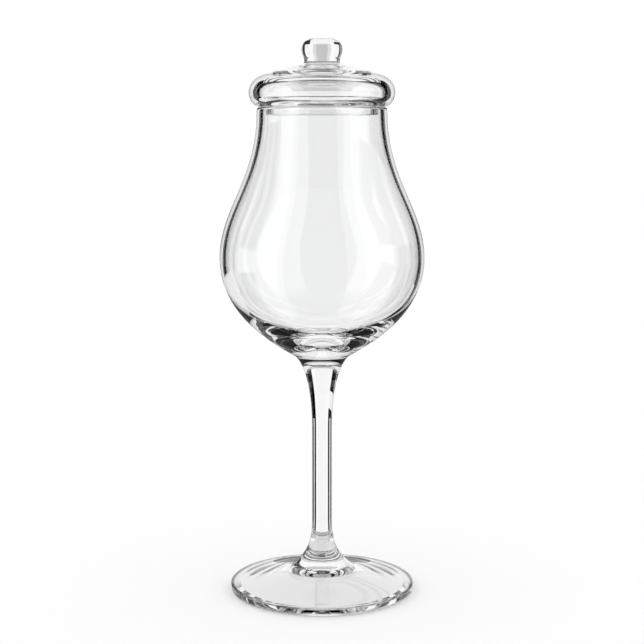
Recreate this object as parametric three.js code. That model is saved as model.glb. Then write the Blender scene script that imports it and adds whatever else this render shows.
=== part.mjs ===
// A whisky nosing glass on a stem, with a loose glass lid.
// Millimetres, +Z up, origin under the middle of the foot.
import * as THREE from 'three';

// Foot
const footDiameter = 62.2;
const footEdgeHeight = 2.9; // top of the upright edge above the table
const footEdgeRound = 0.8;
const footHeight = 10; // up to the joint with the stem
const footFlareRadius = 12.5; // where the flare runs out on the disc
const footFlareHeight = 7;
const footHollowDiameter = 55; // hollow under the foot, inside the ring it stands on
const footHollowDepth = 6.2;

// Stem
const stemLength = 69.3;
const stemDiameter = 6.66;
const stemFootDiameter = 16.2; // at the joint with the foot
const stemBowlDiameter = 15.9; // at the joint with the bowl
const stemLowerFlare = 15.1; // height of the flare above the foot
const stemUpperFlare = 24.5; // height of the flare under the bowl

// Bowl
const bowlHeight = 84.1; // from the joint with the stem to the rim
const bowlDiameter = 68.2;
const bellyHeight = 34.1; // widest level above the joint
const mouthDiameter = 43.04;
const neckWall = 2;
const bellyWall = 1.9;
const bottomThickness = 6.8; // solid glass on the axis
const baseConeRadius = 10; // where the round bottom ends in a short cone
const baseConeHeight = 1.8;

// Lid
const lidSeatGap = 0.1; // between the rim and the lid's flat seat
const lidDiameter = 48.2;
const lidBulgeHeight = 4.45; // widest level above the seat
const lidSeatDiameter = 41.2; // outside of the flat seat
const lidWall = 3.4;
const lidLip = 1.4; // upright lip of the hollow, just above the seat
const lidCrownThickness = 4.9; // solid glass under the knob
const lidHeight = 14.7; // from the seat to the joint with the knob
const lidCrownRadius = 9.5; // where the dome meets the fillet under the knob
const lidCrownHeight = 13.28;
const collarClearance = 0.9; // between the collar and the mouth, all round
const collarWall = 1.8;
const collarDepth = 2.8;
const collarEdgeRound = 0.6;

// Knob
const knobHeight = 7.56;
const knobDiameter = 13.46;
const knobWaistDiameter = 11.82;
const knobWidestHeight = 4.07;
const knobFlatDiameter = 5.3; // flat on top

// Slopes where one curve runs on into the next, as radius gained for each millimetre of height
const stemFootSlope = 1;
const stemBowlSlope = 0.72;
const bowlBaseSlope = 1.66;
const footHollowSlope = 0.2; // height for each millimetre of radius at the edge of the hollow

// How far a bend runs straight on from each of its ends, as a share of its height or reach
const hollowRun = 1 / 3;
const edgeRun = 0.55;
const discRunOut = 1 / 3;
const discRiseOut = 0.22;
const discRunIn = 0.25;
const discRiseIn = 0.33;
const flareRunOut = 1 / 3;
const flareRiseOut = 0.1;
const flareRunUp = 0.7;
const stemRunAtFoot = 0.34;
const stemRunAboveFoot = 0.5;
const stemRunBelowBowl = 0.61;
const stemRunAtBowl = 0.14;
const coneRunLow = 0.6;
const coneRunHigh = 0.71;
const bottomRun = 0.27;
const bellyRunDown = 0.56;
const bellyRunUp = 0.34;
const neckRun = 0.47;
const boreRunDown = 0.61;
const boreRunIn = 0.55;
const seatRun = 0.6;
const bulgeRunDown = 0.38;
const bulgeRunUp = 0.56;
const crownRunOut = 0.68;
const crownDropOut = 0.23;
const filletRunOut = 0.28;
const filletRiseOut = 0.06;
const filletRunUp = 0.85;
const lidHollowRunOut = 0.8;
const lidHollowRunUp = 0.6;
const lidHollowRunDown = 0.4;
const lipRunIn = 0.55;
const lipRunDown = 0.4;
const knobSideRun = 0.5;
const knobShoulderRun = 0.6;
const knobTopRun = 0.56;

// Fineness
const roundSegments = 40;
const curveSteps = 6;

const footRadius = footDiameter / 2;
const stemRadius = stemDiameter / 2;
const mouthRadius = mouthDiameter / 2;
const bellyRadius = bowlDiameter / 2;
const lidRadius = lidDiameter / 2;
const mouthBoreRadius = mouthRadius - neckWall;
const collarRadius = mouthBoreRadius - collarClearance;
const lidMouthRadius = collarRadius - collarWall;

// Shorter names for points and pulls in the half outline: radius first, then height.
function at(radius, height) {
  return new THREE.Vector2(radius, height);
}

function up(length) {
  return at(0, length);
}

function outwards(length) {
  return at(length, 0);
}

// A pull of the given length that gains the slope in radius for each millimetre of height.
function rising(slope, length) {
  return at(slope, 1).setLength(length);
}

// Draws a smooth bend to a point. Each end is pulled straight along its own direction.
function bendTo(outline, startPull, end, endPull) {
  const first = outline.currentPoint.clone().add(startPull);
  const second = end.clone().sub(endPull);
  outline.bezierCurveTo(first.x, first.y, second.x, second.y, end.x, end.y);
}

function clearGlass() {
  return new THREE.MeshStandardMaterial({
    color: 0xf2f4f4,
    roughness: 0.03,
    metalness: 0,
    transparent: true,
    opacity: 0.35,
  });
}

// Turns a half outline about +Z.
function turned(name, outline) {
  const geometry = new THREE.LatheGeometry(outline.getPoints(curveSteps), roundSegments);
  geometry.rotateX(Math.PI / 2);
  const mesh = new THREE.Mesh(geometry, clearGlass());
  mesh.name = name;
  return mesh;
}

function foot() {
  const joint = at(stemFootDiameter / 2, footHeight);
  const flareEnd = at(footFlareRadius, footFlareHeight);
  const edgeTop = at(footRadius - footEdgeRound, footEdgeHeight);
  const hollowEdge = at(footHollowDiameter / 2, 0);
  const hollowPull = hollowEdge.x * hollowRun;
  const edgePull = footEdgeRound * edgeRun;
  const flareRise = joint.y - flareEnd.y;
  const discReach = edgeTop.x - flareEnd.x;
  const discRise = flareEnd.y - edgeTop.y;
  const discOut = at(-discReach * discRunOut, discRise * discRiseOut);
  const discIn = at(-discReach * discRunIn, discRise * discRiseIn);
  const flareOut = at(-flareRise * flareRunOut, flareRise * flareRiseOut);
  const outline = new THREE.Path();
  outline.moveTo(0, footHollowDepth);
  bendTo(outline, outwards(hollowPull), hollowEdge, at(hollowPull, -hollowPull * footHollowSlope));
  outline.lineTo(edgeTop.x, 0);
  bendTo(outline, outwards(edgePull), at(footRadius, footEdgeRound), up(edgePull));
  outline.lineTo(footRadius, footEdgeHeight - footEdgeRound);
  bendTo(outline, up(edgePull), edgeTop, outwards(-edgePull));
  bendTo(outline, discOut, flareEnd, discIn);
  bendTo(outline, flareOut, joint, rising(-stemFootSlope, flareRise * flareRunUp));
  outline.lineTo(0, footHeight);
  return turned('foot', outline);
}

function stem() {
  const joint = at(stemBowlDiameter / 2, stemLength);
  const outline = new THREE.Path();
  outline.moveTo(0, 0);
  outline.lineTo(stemFootDiameter / 2, 0);
  const footPull = rising(-stemFootSlope, stemLowerFlare * stemRunAtFoot);
  bendTo(outline, footPull, at(stemRadius, stemLowerFlare), up(stemLowerFlare * stemRunAboveFoot));
  outline.lineTo(stemRadius, stemLength - stemUpperFlare);
  const bowlPull = rising(stemBowlSlope, stemUpperFlare * stemRunAtBowl);
  bendTo(outline, up(stemUpperFlare * stemRunBelowBowl), joint, bowlPull);
  outline.lineTo(0, stemLength);
  return turned('stem', outline);
}

function bowl() {
  const rimRound = neckWall / 2;
  const neckTop = bowlHeight - rimRound;
  const shoulder = neckTop - bellyHeight;
  const underBelly = bellyHeight - baseConeHeight;
  const boreBelly = bellyRadius - bellyWall;
  const boreDepth = bellyHeight - bottomThickness;
  const outline = new THREE.Path();
  outline.moveTo(0, 0);
  outline.lineTo(stemBowlDiameter / 2, 0);
  const conePullLow = rising(stemBowlSlope, baseConeHeight * coneRunLow);
  const conePullHigh = rising(bowlBaseSlope, baseConeHeight * coneRunHigh);
  bendTo(outline, conePullLow, at(baseConeRadius, baseConeHeight), conePullHigh);
  const bottomPull = rising(bowlBaseSlope, underBelly * bottomRun);
  bendTo(outline, bottomPull, at(bellyRadius, bellyHeight), up(underBelly * bellyRunDown));
  bendTo(outline, up(shoulder * bellyRunUp), at(mouthRadius, neckTop), up(shoulder * neckRun));
  outline.absarc(mouthRadius - rimRound, neckTop, rimRound, 0, Math.PI);
  bendTo(outline, up(-shoulder * neckRun), at(boreBelly, bellyHeight), up(-shoulder * bellyRunUp));
  bendTo(outline, up(-boreDepth * boreRunDown), at(0, bottomThickness), outwards(-boreBelly * boreRunIn));
  return turned('bowl', outline);
}

function lidCap() {
  const bulge = at(lidRadius, lidBulgeHeight);
  const crown = at(lidCrownRadius, lidCrownHeight);
  const domeRise = crown.y - bulge.y;
  const domeReach = bulge.x - crown.x;
  const seatReach = bulge.x - lidSeatDiameter / 2;
  const hollowBulge = at(lidRadius - lidWall, lidBulgeHeight);
  const hollowTop = at(0, lidHeight - lidCrownThickness);
  const hollowRise = hollowTop.y - hollowBulge.y;
  const lipReach = hollowBulge.x - lidMouthRadius;
  const fillet = lidHeight - lidCrownHeight;
  const crownPull = at(-domeReach * crownRunOut, domeRise * crownDropOut);
  const filletPull = at(-fillet * filletRunOut, fillet * filletRiseOut);
  const lipPull = at(-lipReach * lipRunIn, -lidLip * lipRunDown);
  const outline = new THREE.Path();
  outline.moveTo(lidMouthRadius, 0);
  outline.lineTo(lidSeatDiameter / 2, 0);
  bendTo(outline, outwards(seatReach * seatRun), bulge, up(lidBulgeHeight * bulgeRunDown));
  bendTo(outline, up(domeRise * bulgeRunUp), crown, crownPull);
  bendTo(outline, filletPull, at(knobWaistDiameter / 2, lidHeight), up(fillet * filletRunUp));
  outline.lineTo(0, lidHeight);
  outline.lineTo(hollowTop.x, hollowTop.y);
  bendTo(outline, outwards(hollowBulge.x * lidHollowRunOut), hollowBulge, up(-hollowRise * lidHollowRunUp));
  bendTo(outline, up(-lidBulgeHeight * lidHollowRunDown), at(lidMouthRadius, lidLip), lipPull);
  outline.lineTo(lidMouthRadius, 0);
  return turned('lid_cap', outline);
}

// Its top is the lid's flat seat, at height 0.
function lidCollar() {
  const straight = collarEdgeRound - collarDepth;
  const edgePull = collarEdgeRound * edgeRun;
  const innerEdge = at(lidMouthRadius + collarEdgeRound, -collarDepth);
  const outline = new THREE.Path();
  outline.moveTo(lidMouthRadius, 0);
  outline.lineTo(lidMouthRadius, straight);
  bendTo(outline, up(-edgePull), innerEdge, outwards(edgePull));
  outline.lineTo(collarRadius - collarEdgeRound, -collarDepth);
  bendTo(outline, outwards(edgePull), at(collarRadius, straight), up(edgePull));
  outline.lineTo(collarRadius, 0);
  outline.lineTo(lidMouthRadius, 0);
  return turned('lid_collar', outline);
}

function lidKnob() {
  const waist = knobWaistDiameter / 2;
  const flat = knobFlatDiameter / 2;
  const widest = at(knobDiameter / 2, knobWidestHeight);
  const crownRise = knobHeight - knobWidestHeight;
  const outline = new THREE.Path();
  outline.moveTo(0, 0);
  outline.lineTo(waist, 0);
  bendTo(outline, up(widest.y * knobSideRun), widest, up(widest.y * knobSideRun));
  const topPull = outwards((flat - widest.x) * knobTopRun);
  bendTo(outline, up(crownRise * knobShoulderRun), at(flat, knobHeight), topPull);
  outline.lineTo(0, knobHeight);
  return turned('lid_knob', outline);
}

function lid() {
  const group = new THREE.Group();
  const knob = lidKnob();
  knob.position.z = lidHeight;
  group.add(lidCap(), lidCollar(), knob);
  return group;
}

function whiskyGlass() {
  const glass = new THREE.Group();
  const stemPiece = stem();
  const bowlPiece = bowl();
  const lidPieces = lid();
  stemPiece.position.z = footHeight;
  bowlPiece.position.z = footHeight + stemLength;
  lidPieces.position.z = footHeight + stemLength + bowlHeight + lidSeatGap;
  glass.add(foot(), stemPiece, bowlPiece, lidPieces);
  return glass;
}

export default whiskyGlass();
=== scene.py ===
import math

import bpy
import numpy as np
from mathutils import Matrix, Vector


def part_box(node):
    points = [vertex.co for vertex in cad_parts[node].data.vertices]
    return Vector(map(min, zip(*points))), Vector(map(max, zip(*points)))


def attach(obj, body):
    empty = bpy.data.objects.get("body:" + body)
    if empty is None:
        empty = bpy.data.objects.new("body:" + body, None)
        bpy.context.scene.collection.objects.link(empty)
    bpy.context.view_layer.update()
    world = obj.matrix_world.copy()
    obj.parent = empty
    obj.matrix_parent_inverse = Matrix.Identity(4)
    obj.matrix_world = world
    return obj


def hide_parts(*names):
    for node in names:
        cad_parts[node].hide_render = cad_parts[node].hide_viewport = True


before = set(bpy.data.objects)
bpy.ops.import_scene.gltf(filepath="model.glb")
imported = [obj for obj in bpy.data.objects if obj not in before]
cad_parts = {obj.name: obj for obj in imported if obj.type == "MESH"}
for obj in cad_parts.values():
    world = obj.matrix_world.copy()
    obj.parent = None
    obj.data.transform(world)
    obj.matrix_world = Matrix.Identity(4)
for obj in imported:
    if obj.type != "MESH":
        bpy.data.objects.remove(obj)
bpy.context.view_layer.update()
print("frame loaded:", sorted(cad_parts))

mm = 0.001  # outlines are drawn in millimetres, meshes are in metres
turnSteps = 192  # faces around every turned piece
bendSteps = {"ring": 8, "edge": 16, "short": 28, "long": 40, "wall": 48, "bore": 56}  # strips in a bend
polished = 0  # material slot of the outside of a piece
fused = 1  # material slot of a hidden hot joint
roundPull = 0.55  # pull that makes a quarter of a circle, as a share of its radius
onAxis = 1e-6  # a smaller radius is a point on the axis
sameSpot = 1e-9  # outline ends closer than this meet


# A half outline is drawn like a pen line: radius first, then height, with the glass on the left.
def startAt(radius, height):
    return {"pen": np.array((radius, height), float), "strips": []}


def lineTo(outline, radius, height, finish=polished):
    begin = outline["pen"]
    end = np.array((radius, height), float)
    heading = (end - begin) / np.linalg.norm(end - begin)
    outline["strips"].append((begin, heading, end, heading, finish))
    outline["pen"] = end


def addStrips(outline, points, headings):
    for i in range(len(points) - 1):
        outline["strips"].append((points[i], headings[i], points[i + 1], headings[i + 1], polished))


def bendTo(outline, startPull, end, endPull, steps="short"):
    p0 = outline["pen"]
    p3 = np.array(end, float)
    p1 = p0 + np.array(startPull, float)
    p2 = p3 - np.array(endPull, float)
    t = np.linspace(0, 1, bendSteps[steps] + 1)[:, None]
    points = p0 * (1 - t) ** 3 + 3 * p1 * t * (1 - t) ** 2 + 3 * p2 * t * t * (1 - t) + p3 * t ** 3
    headings = (p1 - p0) * (1 - t) ** 2 + 2 * (p2 - p1) * t * (1 - t) + (p3 - p2) * t * t
    headings /= np.linalg.norm(headings, axis=1)[:, None]
    addStrips(outline, points, headings)
    outline["pen"] = p3


def arcOver(outline, radius):  # half round rim, outside to inside
    centre = outline["pen"] - np.array((radius, 0))
    turn = np.linspace(0, math.pi, bendSteps["edge"] + 1)
    points = centre + radius * np.stack((np.cos(turn), np.sin(turn)), axis=1)
    headings = np.stack((-np.sin(turn), np.cos(turn)), axis=1)
    addStrips(outline, points, headings)
    outline["pen"] = points[-1]


def along(slope, length):  # a pull that gains slope of radius for each unit of height
    return np.array((slope, 1.0)) / math.hypot(slope, 1.0) * length


# Turns a half outline about the upright axis, with normals from the drawn curves.
def turnPiece(name, outline, materials):
    angles = np.linspace(0, 2 * math.pi, turnSteps, endpoint=False)
    ringDirection = np.stack((np.cos(angles), np.sin(angles)), axis=1)
    verts, faces, normals, finishes = [], [], [], []

    def addRing(point):
        first = len(verts)
        if point[0] < onAxis:
            verts.append((0, 0, point[1] * mm))
            return [first] * turnSteps
        verts.extend((point[0] * mm * c, point[0] * mm * s, point[1] * mm) for c, s in ringDirection)
        return list(range(first, first + turnSteps))

    def normalAt(heading, j):
        c, s = ringDirection[j]
        return (heading[1] * c, heading[1] * s, -heading[0])

    strips = outline["strips"]
    firstRing = addRing(strips[0][0])
    low = firstRing
    closed = np.linalg.norm(strips[-1][2] - strips[0][0]) < sameSpot
    for k, (_, lowHeading, end, highHeading, finish) in enumerate(strips):
        high = firstRing if closed and k == len(strips) - 1 else addRing(end)
        for j in range(turnSteps):
            after = (j + 1) % turnSteps
            corners = [(low[j], lowHeading, j), (low[after], lowHeading, after),
                       (high[after], highHeading, after), (high[j], highHeading, j)]
            if low[0] == low[1]:
                corners.pop(1)  # the strip starts in a point
            elif high[0] == high[1]:
                corners.pop(3)  # the strip ends in a point
            faces.append([vertex for vertex, _, _ in corners])
            normals.extend(normalAt(heading, around) for _, heading, around in corners)
            finishes.append(finish)
        low = high
    mesh = bpy.data.meshes.new(name)
    mesh.from_pydata(verts, [], faces)
    for material in materials:
        mesh.materials.append(material)
    mesh.polygons.foreach_set("material_index", finishes)
    mesh.polygons.foreach_set("use_smooth", [True] * len(faces))
    mesh.normals_split_custom_set(normals)
    mesh.update()
    piece = bpy.data.objects.new(name, mesh)
    bpy.context.scene.collection.objects.link(piece)
    return piece


def sizeOf(node):  # lowest height, highest height and largest radius of a solid, in millimetres
    low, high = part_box(node)
    return low.z / mm, high.z / mm, high.x / mm


# Shared effects
rippleSet = {"detail": 1.0}
hazeSet = {"detail": 3.0, "patchFrom": 0.45, "patchTo": 0.75}


def newGroup(name, inputs, outputs):
    group = bpy.data.node_groups.new(name, "ShaderNodeTree")
    for label, kind in inputs:
        group.interface.new_socket(label, in_out="INPUT", socket_type=kind)
    for label, kind in outputs:
        group.interface.new_socket(label, in_out="OUTPUT", socket_type=kind)
    return group, group.nodes.new("NodeGroupInput"), group.nodes.new("NodeGroupOutput")


def makeRippleGroup():  # faint draw lines and soft waves of hot-worked glass
    group, given, made = newGroup(
        "blownRipple",
        [("Wave Size", "NodeSocketFloat"), ("Upright Stretch", "NodeSocketFloat")],
        [("Height", "NodeSocketFloat")])
    nodes, links = group.nodes, group.links
    place = nodes.new("ShaderNodeTexCoord")
    squeeze = nodes.new("ShaderNodeCombineXYZ")
    squeeze.inputs["X"].default_value = 1.0
    squeeze.inputs["Y"].default_value = 1.0
    stretch = nodes.new("ShaderNodeVectorMath")
    stretch.operation = "MULTIPLY"
    wave = nodes.new("ShaderNodeTexNoise")
    wave.inputs["Detail"].default_value = rippleSet["detail"]
    links.new(given.outputs["Upright Stretch"], squeeze.inputs["Z"])
    links.new(place.outputs["Object"], stretch.inputs[0])
    links.new(squeeze.outputs["Vector"], stretch.inputs[1])
    links.new(stretch.outputs["Vector"], wave.inputs["Vector"])
    links.new(given.outputs["Wave Size"], wave.inputs["Scale"])
    links.new(wave.outputs["Fac"], made.inputs["Height"])
    return group


def makeHazeGroup():  # a trace of handling: faint film in soft patches
    group, given, made = newGroup(
        "handledHaze",
        [("Patch Size", "NodeSocketFloat"), ("Film", "NodeSocketFloat"),
         ("Glass Tint", "NodeSocketColor")],
        [("Roughness", "NodeSocketFloat"), ("Colour", "NodeSocketColor")])
    nodes, links = group.nodes, group.links
    place = nodes.new("ShaderNodeTexCoord")
    patch = nodes.new("ShaderNodeTexNoise")
    patch.inputs["Detail"].default_value = hazeSet["detail"]
    spread = nodes.new("ShaderNodeMapRange")
    spread.inputs["From Min"].default_value = hazeSet["patchFrom"]
    spread.inputs["From Max"].default_value = hazeSet["patchTo"]
    film = nodes.new("ShaderNodeMath")
    film.operation = "MULTIPLY"
    shade = nodes.new("ShaderNodeMix")
    shade.data_type = "RGBA"
    shade.inputs["A"].default_value = (1, 1, 1, 1)
    links.new(place.outputs["Object"], patch.inputs["Vector"])
    links.new(given.outputs["Patch Size"], patch.inputs["Scale"])
    links.new(patch.outputs["Fac"], spread.inputs["Value"])
    links.new(spread.outputs["Result"], film.inputs[0])
    links.new(given.outputs["Film"], film.inputs[1])
    links.new(film.outputs["Value"], made.inputs["Roughness"])
    links.new(patch.outputs["Fac"], shade.inputs["Factor"])
    links.new(given.outputs["Glass Tint"], shade.inputs["B"])
    links.new(shade.outputs["Result"], made.inputs["Colour"])
    return group


rippleGroup = makeRippleGroup()
hazeGroup = makeHazeGroup()


def clearGlass(name, look):
    material = bpy.data.materials.new(name)
    material.use_nodes = True
    nodes, links = material.node_tree.nodes, material.node_tree.links
    shader = nodes["Principled BSDF"]
    shader.inputs["Metallic"].default_value = 0.0
    shader.inputs["Transmission Weight"].default_value = 1.0
    shader.inputs["IOR"].default_value = look["ior"]
    ripple = nodes.new("ShaderNodeGroup")
    ripple.node_tree = rippleGroup
    ripple.inputs["Wave Size"].default_value = look["waveSize"]
    ripple.inputs["Upright Stretch"].default_value = look["waveStretch"]
    bump = nodes.new("ShaderNodeBump")
    bump.inputs["Strength"].default_value = look["waveStrength"]
    bump.inputs["Distance"].default_value = look["waveDepth"]
    haze = nodes.new("ShaderNodeGroup")
    haze.node_tree = hazeGroup
    haze.inputs["Patch Size"].default_value = look["patchSize"]
    haze.inputs["Film"].default_value = look["film"]
    haze.inputs["Glass Tint"].default_value = look["tint"]
    links.new(ripple.outputs["Height"], bump.inputs["Height"])
    links.new(bump.outputs["Normal"], shader.inputs["Normal"])
    links.new(haze.outputs["Roughness"], shader.inputs["Roughness"])
    links.new(haze.outputs["Colour"], shader.inputs["Base Color"])
    return material


def fusedJoint():  # the hot joint inside the glass can't be seen
    material = bpy.data.materials.new("fusedJoint")
    material.use_nodes = True
    material.node_tree.nodes["Principled BSDF"].inputs["Alpha"].default_value = 0.0
    return material


glassLook = {
    "ior": 1.52, "tint": (0.985, 0.99, 0.99, 1.0), "film": 0.012, "patchSize": 35.0,
    "waveSize": 60.0, "waveStretch": 0.35, "waveStrength": 0.03, "waveDepth": 0.0002,
}
footLook = dict(glassLook, tint=(0.998, 1.0, 1.0, 1.0))  # light crosses the flat foot the long way
bowlGlass = clearGlass("bowlGlass", glassLook)
stemGlass = clearGlass("stemGlass", glassLook)
footGlass = clearGlass("footGlass", footLook)
lidGlass = clearGlass("lidGlass", glassLook)
knobGlass = clearGlass("knobGlass", glassLook)
seam = fusedJoint()
print("glass mixed")

# Radii where one piece runs on into the next, with slopes as radius for each unit of height
joins = {"footRadius": 8.1, "footSlope": 1.0, "bowlRadius": 7.95, "bowlSlope": 0.72, "knobRadius": 5.91}

# In the sizes of each piece, Run and End are the pulls at the start and the end of a bend, as shares of
# its own height or reach.
footSizes = {
    "edgeHeight": 2.9, "edgeRound": 0.8,
    "flareRadius": 12.5, "flareHeight": 7.0,
    "hollowRadius": 27.5, "hollowDepth": 6.2, "hollowSlope": 0.2, "hollowRun": 1 / 3,
    "discRunIn": 1 / 3, "discRunUp": 0.22, "discEndIn": 1 / 4, "discEndUp": 0.33,
    "flareRunIn": 1 / 3, "flareRunUp": 1 / 10, "flareEnd": 0.7,
}


def makeFoot():
    foot = footSizes
    base, top, radius = sizeOf("foot")
    edge = foot["edgeRound"]
    pull = edge * roundPull
    rise = top - foot["flareHeight"]
    reach = radius - edge - foot["flareRadius"]
    drop = foot["flareHeight"] - foot["edgeHeight"]
    hollowPull = foot["hollowRadius"] * foot["hollowRun"]
    outline = startAt(0, base + foot["hollowDepth"])
    bendTo(outline, (hollowPull, 0), (foot["hollowRadius"], base),
           (hollowPull, -hollowPull * foot["hollowSlope"]), "long")
    lineTo(outline, radius - edge, base)
    bendTo(outline, (pull, 0), (radius, base + edge), (0, pull), "edge")
    lineTo(outline, radius, foot["edgeHeight"] - edge)
    bendTo(outline, (0, pull), (radius - edge, foot["edgeHeight"]), (-pull, 0), "edge")
    bendTo(outline, (-reach * foot["discRunIn"], drop * foot["discRunUp"]),
           (foot["flareRadius"], foot["flareHeight"]),
           (-reach * foot["discEndIn"], drop * foot["discEndUp"]), "long")
    bendTo(outline, (-rise * foot["flareRunIn"], rise * foot["flareRunUp"]),
           (joins["footRadius"], top), along(-joins["footSlope"], rise * foot["flareEnd"]))
    lineTo(outline, 0, top, fused)
    return turnPiece("disc_foot", outline, [footGlass, seam])


stemSizes = {
    "radius": 3.33, "lowerFlare": 15.1, "upperFlare": 24.5,
    "lowerRun": 0.34, "lowerEnd": 0.5, "upperRun": 0.61, "upperEnd": 0.14,
}


def makeStem():
    stem = stemSizes
    base, top, _ = sizeOf("stem")
    low, high = stem["lowerFlare"], stem["upperFlare"]
    outline = startAt(0, base)
    lineTo(outline, joins["footRadius"], base, fused)
    bendTo(outline, along(-joins["footSlope"], low * stem["lowerRun"]),
           (stem["radius"], base + low), (0, low * stem["lowerEnd"]), "long")
    lineTo(outline, stem["radius"], top - high)
    bendTo(outline, (0, high * stem["upperRun"]),
           (joins["bowlRadius"], top), along(joins["bowlSlope"], high * stem["upperEnd"]), "long")
    lineTo(outline, 0, top, fused)
    return turnPiece("drawn_stem", outline, [stemGlass, seam])


bowlSizes = {
    "bellyHeight": 34.1, "mouthRadius": 21.52,
    "neckWall": 2.0, "bellyWall": 1.9, "bottom": 6.8,
    "coneRadius": 10.0, "coneHeight": 1.8, "coneSlope": 1.66, "coneRun": 0.6, "coneEnd": 0.71,
    "underRun": 0.27, "underEnd": 0.56, "shoulderRun": 0.34, "shoulderEnd": 0.47,
    "boreRunDown": 0.61, "boreEndIn": 0.55,
}


def makeBowl():
    bowl = bowlSizes
    base, rim, radius = sizeOf("bowl")
    belly = base + bowl["bellyHeight"]
    neckTop = rim - bowl["neckWall"] / 2
    under = bowl["bellyHeight"] - bowl["coneHeight"]
    bore = radius - bowl["bellyWall"]
    depth = bowl["bellyHeight"] - bowl["bottom"]
    shoulder = neckTop - belly
    lowPull = shoulder * bowl["shoulderRun"]
    highPull = shoulder * bowl["shoulderEnd"]
    outline = startAt(0, base)
    lineTo(outline, joins["bowlRadius"], base, fused)
    bendTo(outline, along(joins["bowlSlope"], bowl["coneHeight"] * bowl["coneRun"]),
           (bowl["coneRadius"], base + bowl["coneHeight"]),
           along(bowl["coneSlope"], bowl["coneHeight"] * bowl["coneEnd"]))
    bendTo(outline, along(bowl["coneSlope"], under * bowl["underRun"]),
           (radius, belly), (0, under * bowl["underEnd"]), "wall")
    bendTo(outline, (0, lowPull), (bowl["mouthRadius"], neckTop), (0, highPull), "wall")
    arcOver(outline, bowl["neckWall"] / 2)
    bendTo(outline, (0, -highPull), (bore, belly), (0, -lowPull), "wall")
    bendTo(outline, (0, -depth * bowl["boreRunDown"]),
           (0, base + bowl["bottom"]), (-bore * bowl["boreEndIn"], 0), "bore")
    return turnPiece("tulip_bowl", outline, [bowlGlass, seam])


lidSizes = {
    "bulgeHeight": 4.45, "seatRadius": 20.6, "wall": 3.4, "lip": 1.4,
    "crownRadius": 9.5, "crownHeight": 13.28, "crownThickness": 4.9,
    "hollowRunOut": 0.8, "hollowEndDown": 0.6, "lipRunDown": 0.4, "lipEndIn": 0.55, "lipEndDown": 0.4,
    "seatRunOut": 0.6, "seatEndUp": 0.38, "domeRunUp": 0.56, "domeEndIn": 0.68, "domeEndUp": 0.23,
    "filletRunIn": 0.28, "filletRunUp": 0.06, "filletEndUp": 0.85,
}


def makeLid():
    lid = lidSizes
    seat, top, radius = sizeOf("lid_cap")
    _, _, collar = sizeOf("lid_collar")
    mouth = collar - collarSizes["wall"]
    bulge = seat + lid["bulgeHeight"]
    rise = lid["crownHeight"] - lid["bulgeHeight"]
    reach = radius - lid["crownRadius"]
    fillet = top - seat - lid["crownHeight"]
    bore = radius - lid["wall"]
    ceiling = top - lid["crownThickness"]
    outline = startAt(0, ceiling)
    bendTo(outline, (bore * lid["hollowRunOut"], 0),
           (bore, bulge), (0, (bulge - ceiling) * lid["hollowEndDown"]), "long")
    bendTo(outline, (0, -lid["bulgeHeight"] * lid["lipRunDown"]), (mouth, seat + lid["lip"]),
           (-(bore - mouth) * lid["lipEndIn"], -lid["lip"] * lid["lipEndDown"]))
    lineTo(outline, mouth, seat)
    lineTo(outline, collar, seat, fused)
    lineTo(outline, lid["seatRadius"], seat)
    bendTo(outline, ((radius - lid["seatRadius"]) * lid["seatRunOut"], 0),
           (radius, bulge), (0, lid["bulgeHeight"] * lid["seatEndUp"]))
    bendTo(outline, (0, rise * lid["domeRunUp"]), (lid["crownRadius"], seat + lid["crownHeight"]),
           (-reach * lid["domeEndIn"], rise * lid["domeEndUp"]), "long")
    bendTo(outline, (-fillet * lid["filletRunIn"], fillet * lid["filletRunUp"]),
           (joins["knobRadius"], top), (0, fillet * lid["filletEndUp"]))
    lineTo(outline, 0, top, fused)
    return turnPiece("lid_dome", outline, [lidGlass, seam])


collarSizes = {"wall": 1.8, "edgeRound": 0.6}


def makeCollar():
    bottom, seat, collar = sizeOf("lid_collar")
    mouth = collar - collarSizes["wall"]
    edge = collarSizes["edgeRound"]
    pull = edge * roundPull
    outline = startAt(mouth, seat)
    lineTo(outline, mouth, bottom + edge)
    bendTo(outline, (0, -pull), (mouth + edge, bottom), (pull, 0), "ring")
    lineTo(outline, collar - edge, bottom)
    bendTo(outline, (pull, 0), (collar, bottom + edge), (0, pull), "ring")
    lineTo(outline, collar, seat)
    lineTo(outline, mouth, seat, fused)
    return turnPiece("lid_ring", outline, [lidGlass, seam])


knobSizes = {"widestHeight": 4.07, "flatRadius": 2.65, "sideRun": 0.5, "shoulderRun": 0.6, "topEnd": 0.56}


def makeKnob():
    knob = knobSizes
    base, top, radius = sizeOf("lid_knob")
    widest = base + knob["widestHeight"]
    sidePull = knob["widestHeight"] * knob["sideRun"]
    outline = startAt(0, base)
    lineTo(outline, joins["knobRadius"], base, fused)
    bendTo(outline, (0, sidePull), (radius, widest), (0, sidePull))
    bendTo(outline, (0, (top - widest) * knob["shoulderRun"]),
           (knob["flatRadius"], top), ((knob["flatRadius"] - radius) * knob["topEnd"], 0))
    lineTo(outline, 0, top)
    return turnPiece("lid_handle", outline, [knobGlass, seam])


for piece, node, body, slot in [
        (makeFoot(), "foot", "goblet", "foot_glass"),
        (makeStem(), "stem", "goblet", "stem_glass"),
        (makeBowl(), "bowl", "goblet", "bowl_glass"),
        (makeLid(), "lid_cap", "lid", "lid_glass"),
        (makeCollar(), "lid_collar", "lid", "lid_glass"),
        (makeKnob(), "lid_knob", "lid", "knob_glass")]:
    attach(piece, body)
    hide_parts(node)
print("glass turned")

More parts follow.
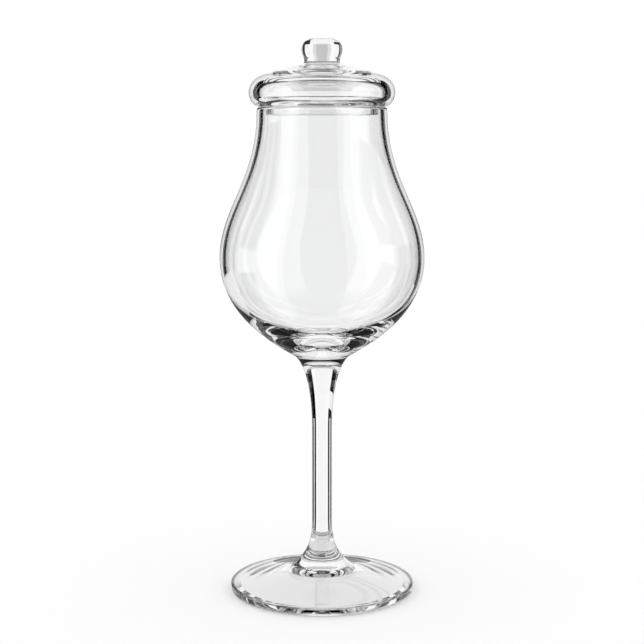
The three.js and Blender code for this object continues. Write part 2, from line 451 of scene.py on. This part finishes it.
# Floor, cards and light, in metres
floorSet = {"half": 3.0, "drop": 0.0002, "colour": (0.97, 0.97, 0.97, 1), "roughness": 0.9}
cardSet = {"radius": 1.2, "lift": -0.0001, "stepDegrees": 3, "backSheen": 0.2}
noBounce = 0.5  # a diffuse depth below this is light that has met no matt face

# Cards round the set. A turn is in degrees from straight behind the glass, to its left. A card lies on
# the floor between two radii, slopes between two points and stands between two heights.
wholeFloor = (0.034, 1.2)
farFloor = (0.4, 1.2)
tallWall = (0.0, 2.1)
lowWall = (0.0, 0.7)
blackCards = [
    {"turn": (27, 38.5), "floor": wholeFloor, "wall": lowWall},
    {"turn": (38.5, 46), "floor": farFloor, "wall": tallWall},
    {"turn": (46, 55), "floor": wholeFloor, "wall": tallWall},
    {"turn": (59, 67), "floor": wholeFloor, "wall": tallWall},
    {"turn": (74, 100), "floor": (0.034, 0.55), "wall": (0.25, 2.1)},
    {"turn": (136, 208), "floor": wholeFloor, "wall": tallWall},
    {"turn": (269, 290), "floor": wholeFloor, "wall": tallWall},
    {"turn": (296, 314), "floor": wholeFloor, "wall": tallWall},
    {"turn": (314, 321.5), "floor": farFloor, "wall": tallWall},
    {"turn": (321.5, 333), "floor": wholeFloor, "wall": lowWall},
]

# Cards seen only through the glass, each with its level of light. Three dark bands high on the back wall
# draw the lines of the lid, grey cards with white ends shade the knob, a white slope on the left covers
# the black cards there, a glowing pad paints light under the foot, and dark rings paint shade along its
# rim.
backTurn = (-38.5, 38.5)
allRound = (0, 360)
knobEnd = (0.1735, 0.205)
seenThrough = [
    ("backBandLow", {"turn": backTurn, "wall": (0.72, 0.78)}, 0.15),
    ("backBandMid", {"turn": backTurn, "wall": (0.86, 0.95)}, 0.15),
    ("backBandHigh", {"turn": backTurn, "wall": (1.1, 1.25)}, 0.15),
    ("knobShade", {"turn": (-9, 9), "wall": (0.176, 0.198), "radius": 0.05}, 0.6),
    ("knobFade", {"turn": (-15, 15), "wall": (0.174, 0.2), "radius": 0.051}, 0.78),
    ("knobLightLeft", {"turn": (15, 40), "wall": knobEnd, "radius": 0.051}, 1.0),
    ("knobLightRight", {"turn": (-40, -15), "wall": knobEnd, "radius": 0.051}, 1.0),
    ("sideLight", {"turn": (20, 70), "slope": ((0.05, 0.07), (0.6, 0.0036))}, 1.0),
    # glowing disc seen through the foot: painted light under it
    ("footGlow", {"turn": allRound, "floor": (0.0, 0.0297)}, 0.74),
    # dark and grey rings seen through the foot: painted shade along its rim
    ("rimShade", {"turn": allRound, "floor": (0.0297, 0.0335)}, 0.1),
    ("rimShadeFade", {"turn": allRound, "floor": (0.0335, 0.045)}, 0.45),
]

# Grey cards that only reflections see: close behind the bowl and lid, on the floor at both sides, and
# tall ones beside the black card in front
greyBacks = [{"turn": turn, "wall": (0.095, 0.26), "radius": 0.075}
             for turn in ((22, 56), (-56, -22))]
greyBacks += [{"turn": turn, "floor": (0.036, 0.6)}
              for turn in ((8, 80), (-80, -8))]
greyBacks += [{"turn": turn, "floor": (0.036, 1.2), "wall": tallWall}
              for turn in ((130, 136), (208, 229))]


def makeFloor():
    half, z = floorSet["half"], -floorSet["drop"]
    corners = [(-half, -half, z), (half, -half, z), (half, half, z), (-half, half, z)]
    mesh = bpy.data.meshes.new("floor")
    mesh.from_pydata(corners, [], [(0, 1, 2, 3)])
    material = bpy.data.materials.new("paleFloor")
    material.use_nodes = True
    shader = material.node_tree.nodes["Principled BSDF"]
    shader.inputs["Base Color"].default_value = floorSet["colour"]
    shader.inputs["Roughness"].default_value = floorSet["roughness"]
    shader.inputs["Specular IOR Level"].default_value = 0.0
    mesh.materials.append(material)
    floor = bpy.data.objects.new("floor", mesh)
    bpy.context.scene.collection.objects.link(floor)


def cardMaterial(name, level):
    material = bpy.data.materials.new(name)
    material.use_nodes = True
    nodes, links = material.node_tree.nodes, material.node_tree.links
    shader = nodes["Principled BSDF"]
    shader.inputs["Base Color"].default_value = (0, 0, 0, 1)
    shader.inputs["Specular IOR Level"].default_value = 0.0
    shader.inputs["Roughness"].default_value = 1.0
    shader.inputs["Emission Color"].default_value = (1, 1, 1, 1)
    shader.inputs["Emission Strength"].default_value = level
    path = nodes.new("ShaderNodeLightPath")
    straight = nodes.new("ShaderNodeMath")  # light on its way to the floor passes the cards
    straight.operation = "LESS_THAN"
    straight.inputs[1].default_value = noBounce
    links.new(path.outputs["Diffuse Depth"], straight.inputs[0])
    links.new(straight.outputs["Value"], shader.inputs["Alpha"])
    return material


def standCard(name, card, material):
    first, last = card["turn"]
    turn = np.radians(np.linspace(first, last, max(2, int((last - first) / cardSet["stepDegrees"]) + 1)))
    count = len(turn)
    strips = []
    if "floor" in card:
        strips.append([(r, cardSet["lift"]) for r in card["floor"]])
    if "slope" in card:
        strips.append(card["slope"])
    if "wall" in card:
        strips.append([(card.get("radius", cardSet["radius"]), z) for z in card["wall"]])
    verts = [(-r * math.sin(a), r * math.cos(a), z) for strip in strips for r, z in strip for a in turn]
    faces = []
    for row in range(0, 2 * len(strips), 2):  # every strip has two rows of points
        for i in range(row * count, row * count + count - 1):
            faces.append((i, i + 1, i + count + 1, i + count))
    mesh = bpy.data.meshes.new(name)
    mesh.from_pydata(verts, [], faces)
    mesh.materials.append(material)
    sheet = bpy.data.objects.new(name, mesh)
    bpy.context.scene.collection.objects.link(sheet)
    sheet.visible_camera = False
    sheet.visible_diffuse = False
    sheet.visible_shadow = False
    return sheet


def makeCards():  # only the glass sees them, as in a bright-field set
    black = cardMaterial("blackCard", 0.0)
    for number, card in enumerate(blackCards):
        standCard("blackCard" + str(number), card, black)
    for name, card, level in seenThrough:
        sheet = standCard(name, card, cardMaterial(name, level))
        sheet.visible_glossy = False
    grey = cardMaterial("greyBack", cardSet["backSheen"])
    for number, card in enumerate(greyBacks):
        sheen = standCard("greyBack" + str(number), card, grey)
        sheen.visible_transmission = False  # keeps the edges of the glass dark, and its middle clear


# The room is white. Only the glass sees its dark ceiling, which fades in between two heights of the sky.
roomLight = {"level": 1.05, "wallLevel": 1.0, "ceilingLevel": 0.1, "ceilingFrom": 0.78, "ceilingTo": 0.90}


def lightWorld():
    world = bpy.data.worlds.new("whiteRoom")
    bpy.context.scene.world = world
    world.use_nodes = True
    nodes, links = world.node_tree.nodes, world.node_tree.links
    path = nodes.new("ShaderNodeLightPath")
    place = nodes.new("ShaderNodeTexCoord")
    height = nodes.new("ShaderNodeSeparateXYZ")
    links.new(place.outputs["Generated"], height.inputs["Vector"])
    ceiling = nodes.new("ShaderNodeMapRange")
    ceiling.interpolation_type = "SMOOTHSTEP"
    ceiling.inputs["From Min"].default_value = roomLight["ceilingFrom"]
    ceiling.inputs["From Max"].default_value = roomLight["ceilingTo"]
    ceiling.inputs["To Min"].default_value = roomLight["wallLevel"]
    ceiling.inputs["To Max"].default_value = roomLight["ceilingLevel"]
    links.new(height.outputs["Z"], ceiling.inputs["Value"])
    seesSet = nodes.new("ShaderNodeMath")  # what the glass shows, and not what lights the floor
    seesSet.operation = "MAXIMUM"
    links.new(path.outputs["Is Glossy Ray"], seesSet.inputs[0])
    links.new(path.outputs["Is Transmission Ray"], seesSet.inputs[1])
    direct = nodes.new("ShaderNodeMath")
    direct.operation = "LESS_THAN"
    direct.inputs[1].default_value = noBounce
    links.new(path.outputs["Diffuse Depth"], direct.inputs[0])
    seesDirect = nodes.new("ShaderNodeMath")
    seesDirect.operation = "MULTIPLY"
    links.new(seesSet.outputs["Value"], seesDirect.inputs[0])
    links.new(direct.outputs["Value"], seesDirect.inputs[1])
    level = nodes.new("ShaderNodeMix")
    level.inputs["A"].default_value = roomLight["level"]
    links.new(seesDirect.outputs["Value"], level.inputs["Factor"])
    links.new(ceiling.outputs["Result"], level.inputs["B"])
    links.new(level.outputs["Result"], nodes["Background"].inputs["Strength"])
    nodes["Background"].inputs["Color"].default_value = (1, 1, 1, 1)


cameraSet = {"distance": 509.7, "height": 162.76, "pitch": 7.907,  # millimetres and degrees
             "focal": 85.73, "sensor": 36.0, "clipStart": 10}


def placeCamera():
    data = bpy.data.cameras.new("camera")
    data.lens = cameraSet["focal"]
    data.sensor_width = cameraSet["sensor"]
    data.clip_start = cameraSet["clipStart"] * mm
    camera = bpy.data.objects.new("camera", data)
    camera.location = (0, -cameraSet["distance"] * mm, cameraSet["height"] * mm)
    camera.rotation_euler = (math.radians(90 - cameraSet["pitch"]), 0, 0)
    bpy.context.scene.collection.objects.link(camera)
    bpy.context.scene.camera = camera


lightBounces = {"all": 24, "transmission": 24, "glossy": 16}  # enough to cross every wall of the glass

makeFloor()
makeCards()
lightWorld()
placeCamera()
scene = bpy.context.scene
scene.view_settings.view_transform = "Standard"
scene.cycles.max_bounces = lightBounces["all"]
scene.cycles.transmission_bounces = lightBounces["transmission"]
scene.cycles.glossy_bounces = lightBounces["glossy"]
print("stage set")
